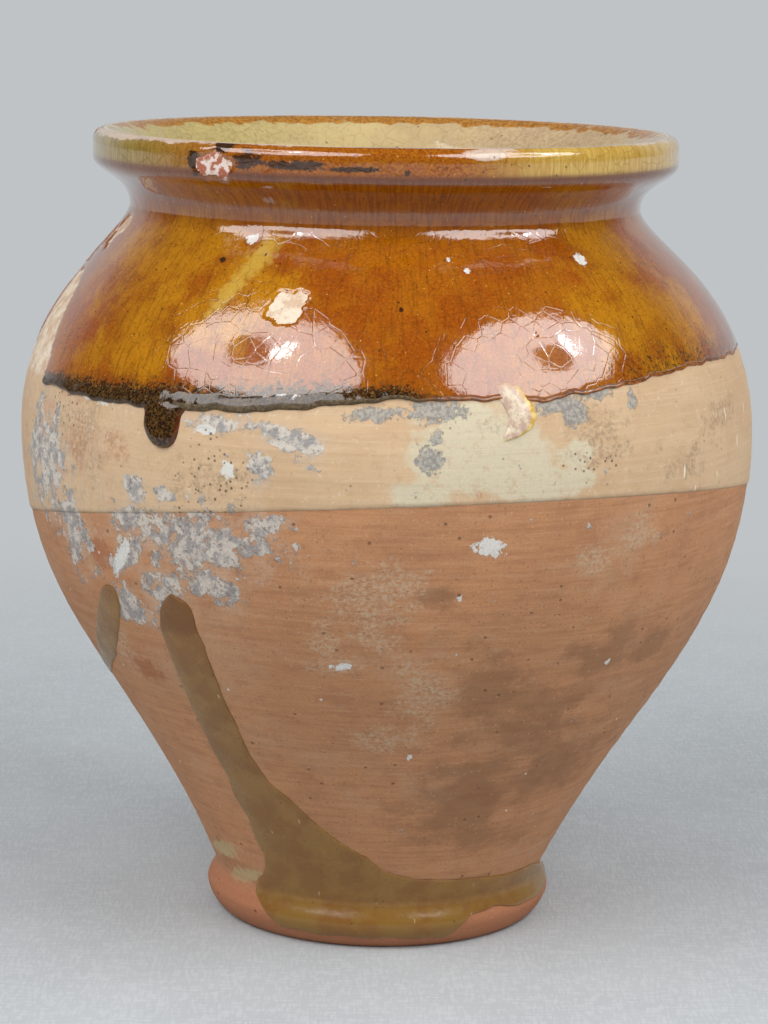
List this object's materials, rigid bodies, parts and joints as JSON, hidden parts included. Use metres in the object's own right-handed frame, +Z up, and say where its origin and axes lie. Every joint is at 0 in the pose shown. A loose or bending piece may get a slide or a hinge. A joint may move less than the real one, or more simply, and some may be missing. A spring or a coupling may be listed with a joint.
{
  "type": "glazed confit pot",
  "caption": "Round-bellied earthenware confit pot: small turned foot, wide shoulder, narrow neck and rolled lip, white slip under an amber glaze that ends in a pooled edge with drips",
  "frame": {"origin": "centre of the standing ring, on the table plane", "axes": "+Z up along the pot's axis, the pictured side faces -Y, +X is to the viewer's right"},
  "size_m": [0.2264, 0.2264, 0.245],
  "materials": {
    "bare_clay": "matt fired earthenware with fine throwing lines",
    "white_slip": "matt peach and cream slip, worn and speckled",
    "amber_glaze": "glossy transparent amber glaze, crazed",
    "pale_glaze": "glossy pale yellow glaze",
    "pooled_glaze": "thick dark glossy glaze",
    "milky_glaze": "thick milky glaze with a yellow edge",
    "olive_glaze": "thin olive-brown glaze, half gloss"
  },
  "bodies": {
    "root": {"clay_body": "bare_clay", "slip_coat": "white_slip", "shoulder_glaze": "amber_glaze", "inner_glaze": "pale_glaze", "glaze_bead": "pooled_glaze", "front_drip": "pooled_glaze", "hooked_drip": "milky_glaze", "long_run": "olive_glaze", "short_run": "olive_glaze", "foot_pool": "olive_glaze"}
  },
  "joints": []
}
